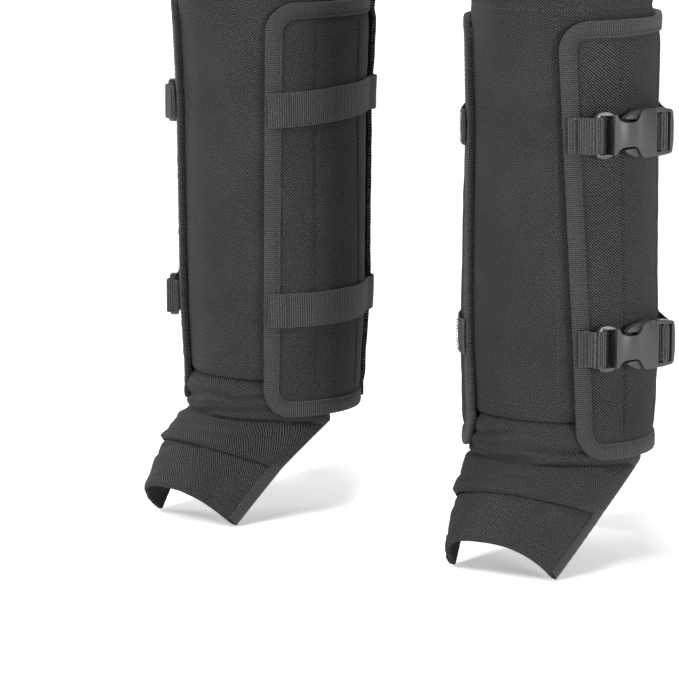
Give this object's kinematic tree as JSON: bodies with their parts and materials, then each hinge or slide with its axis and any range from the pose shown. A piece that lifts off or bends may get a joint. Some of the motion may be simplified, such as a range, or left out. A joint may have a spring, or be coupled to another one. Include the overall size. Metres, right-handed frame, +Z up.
{
  "type": "gaiters",
  "caption": "Pair of padded lower-leg gaiters: woven front shell, overlapping bound wings, webbing straps with side-release buckles, gathered ankle and flared instep cover.",
  "frame": {"origin": "midway between the two leg axes, level with the lowest corners of the instep covers", "axes": "+Z up the legs, -Y the way the wearer faces, +X to the wearer's left"},
  "size_m": [0.4282, 0.194, 0.398],
  "materials": {
    "shell_fabric": "coarse woven nylon, matt, charcoal black",
    "liner_fabric": "smooth dark lining",
    "binding_tape": "ribbed edge tape",
    "webbing": "ribbed polyester webbing",
    "buckle_plastic": "satin moulded acetal, dark grey",
    "closure_tape": "hook-and-loop tape"
  },
  "bodies": {
    "left_gaiter": {"left_front_shell": "shell_fabric", "left_shin_liner": "liner_fabric", "left_medial_wing": "shell_fabric", "left_medial_wing_binding": "binding_tape", "left_loop_tape": "closure_tape", "left_upper_ankle_puff": "shell_fabric", "left_lower_ankle_puff": "shell_fabric", "left_instep_cover": "shell_fabric", "left_lateral_side_tape": "binding_tape", "left_medial_side_tape": "binding_tape", "left_upper_strap": "webbing", "left_lower_strap": "webbing"},
    "left_wing": {"left_lateral_wing": "shell_fabric", "left_lateral_wing_binding": "binding_tape", "left_hook_tape": "closure_tape", "left_upper_short_webbing": "webbing", "left_lower_short_webbing": "webbing", "left_upper_female_buckle": "buckle_plastic", "left_lower_female_buckle": "buckle_plastic"},
    "left_upper_male": {"left_upper_male_buckle": "buckle_plastic", "left_upper_adjuster_loop": "webbing"},
    "left_upper_top_arm": {"left_upper_top_arm": "buckle_plastic"},
    "left_upper_bottom_arm": {"left_upper_bottom_arm": "buckle_plastic"},
    "left_lower_male": {"left_lower_male_buckle": "buckle_plastic", "left_lower_adjuster_loop": "webbing"},
    "left_lower_top_arm": {"left_lower_top_arm": "buckle_plastic"},
    "left_lower_bottom_arm": {"left_lower_bottom_arm": "buckle_plastic"},
    "right_gaiter": {"right_front_shell": "shell_fabric", "right_shin_liner": "liner_fabric", "right_medial_wing": "shell_fabric", "right_medial_wing_binding": "binding_tape", "right_loop_tape": "closure_tape", "right_upper_ankle_puff": "shell_fabric", "right_lower_ankle_puff": "shell_fabric", "right_instep_cover": "shell_fabric", "right_lateral_side_tape": "binding_tape", "right_medial_side_tape": "binding_tape", "right_upper_strap": "webbing", "right_lower_strap": "webbing"},
    "right_wing": {"right_lateral_wing": "shell_fabric", "right_lateral_wing_binding": "binding_tape", "right_hook_tape": "closure_tape", "right_upper_short_webbing": "webbing", "right_lower_short_webbing": "webbing", "right_upper_female_buckle": "buckle_plastic", "right_lower_female_buckle": "buckle_plastic"},
    "right_upper_male": {"right_upper_male_buckle": "buckle_plastic", "right_upper_adjuster_loop": "webbing"},
    "right_upper_top_arm": {"right_upper_top_arm": "buckle_plastic"},
    "right_upper_bottom_arm": {"right_upper_bottom_arm": "buckle_plastic"},
    "right_lower_male": {"right_lower_male_buckle": "buckle_plastic", "right_lower_adjuster_loop": "webbing"},
    "right_lower_top_arm": {"right_lower_top_arm": "buckle_plastic"},
    "right_lower_bottom_arm": {"right_lower_bottom_arm": "buckle_plastic"}
  },
  "joints": [
    {"name": "left_wing_hinge", "type": "hinge", "parent": "left_gaiter", "child": "left_wing", "pos_m": [0.16865, -0.04561, 0.09], "axis": [0.016, 0.0583, -0.9982], "range_deg": [0, 25], "deforming": ["left_upper_strap", "left_lower_strap"]},
    {"name": "left_upper_buckle_release", "type": "slide", "parent": "left_wing", "child": "left_upper_male", "axis": [0.3007, 0.9537, 0], "range_m": [0, 0.024], "deforming": ["left_upper_top_arm", "left_upper_bottom_arm", "left_upper_strap"]},
    {"name": "left_upper_top_arm_squeeze", "type": "hinge", "parent": "left_upper_male", "child": "left_upper_top_arm", "pos_m": [0.20395, -0.00388, 0.3129], "axis": [0.9537, -0.3007, 0], "range_deg": [0, 8], "stiffness_Nm_per_rad": 0.06},
    {"name": "left_upper_bottom_arm_squeeze", "type": "hinge", "parent": "left_upper_male", "child": "left_upper_bottom_arm", "pos_m": [0.20395, -0.00388, 0.2911], "axis": [0.9537, -0.3007, 0], "range_deg": [-8, 0], "stiffness_Nm_per_rad": 0.06},
    {"name": "left_lower_buckle_release", "type": "slide", "parent": "left_wing", "child": "left_lower_male", "axis": [0.3007, 0.9537, 0], "range_m": [0, 0.024], "deforming": ["left_lower_top_arm", "left_lower_bottom_arm", "left_lower_strap"]},
    {"name": "left_lower_top_arm_squeeze", "type": "hinge", "parent": "left_lower_male", "child": "left_lower_top_arm", "pos_m": [0.20648, -0.00127, 0.1669], "axis": [0.9537, -0.3007, 0], "range_deg": [0, 8], "stiffness_Nm_per_rad": 0.06},
    {"name": "left_lower_bottom_arm_squeeze", "type": "hinge", "parent": "left_lower_male", "child": "left_lower_bottom_arm", "pos_m": [0.20648, -0.00127, 0.1451], "axis": [0.9537, -0.3007, 0], "range_deg": [-8, 0], "stiffness_Nm_per_rad": 0.06},
    {"name": "right_wing_hinge", "type": "hinge", "parent": "right_gaiter", "child": "right_wing", "pos_m": [-0.16865, -0.04561, 0.09], "axis": [0.016, -0.0583, 0.9982], "range_deg": [0, 25], "deforming": ["right_upper_strap", "right_lower_strap"]},
    {"name": "right_upper_buckle_release", "type": "slide", "parent": "right_wing", "child": "right_upper_male", "axis": [-0.3007, 0.9537, 0], "range_m": [0, 0.024], "deforming": ["right_upper_top_arm", "right_upper_bottom_arm", "right_upper_strap"]},
    {"name": "right_upper_top_arm_squeeze", "type": "hinge", "parent": "right_upper_male", "child": "right_upper_top_arm", "pos_m": [-0.20395, -0.00388, 0.3129], "axis": [-0.9537, -0.3007, 0], "range_deg": [-8, 0], "stiffness_Nm_per_rad": 0.06},
    {"name": "right_upper_bottom_arm_squeeze", "type": "hinge", "parent": "right_upper_male", "child": "right_upper_bottom_arm", "pos_m": [-0.20395, -0.00388, 0.2911], "axis": [-0.9537, -0.3007, 0], "range_deg": [0, 8], "stiffness_Nm_per_rad": 0.06},
    {"name": "right_lower_buckle_release", "type": "slide", "parent": "right_wing", "child": "right_lower_male", "axis": [-0.3007, 0.9537, 0], "range_m": [0, 0.024], "deforming": ["right_lower_top_arm", "right_lower_bottom_arm", "right_lower_strap"]},
    {"name": "right_lower_top_arm_squeeze", "type": "hinge", "parent": "right_lower_male", "child": "right_lower_top_arm", "pos_m": [-0.20648, -0.00127, 0.1669], "axis": [-0.9537, -0.3007, 0], "range_deg": [-8, 0], "stiffness_Nm_per_rad": 0.06},
    {"name": "right_lower_bottom_arm_squeeze", "type": "hinge", "parent": "right_lower_male", "child": "right_lower_bottom_arm", "pos_m": [-0.20648, -0.00127, 0.1451], "axis": [-0.9537, -0.3007, 0], "range_deg": [0, 8], "stiffness_Nm_per_rad": 0.06},
    {"name": "pair_spacing", "type": "slide", "parent": "left_gaiter", "child": "right_gaiter", "axis": [1, 0, 0], "range_m": [-0.06, 0]}
  ],
  "couplings": [
    {"joint": "left_upper_bottom_arm_squeeze", "follows": "left_upper_top_arm_squeeze", "ratio": -1},
    {"joint": "left_lower_bottom_arm_squeeze", "follows": "left_lower_top_arm_squeeze", "ratio": -1},
    {"joint": "right_upper_bottom_arm_squeeze", "follows": "right_upper_top_arm_squeeze", "ratio": -1},
    {"joint": "right_lower_bottom_arm_squeeze", "follows": "right_lower_top_arm_squeeze", "ratio": -1}
  ]
}
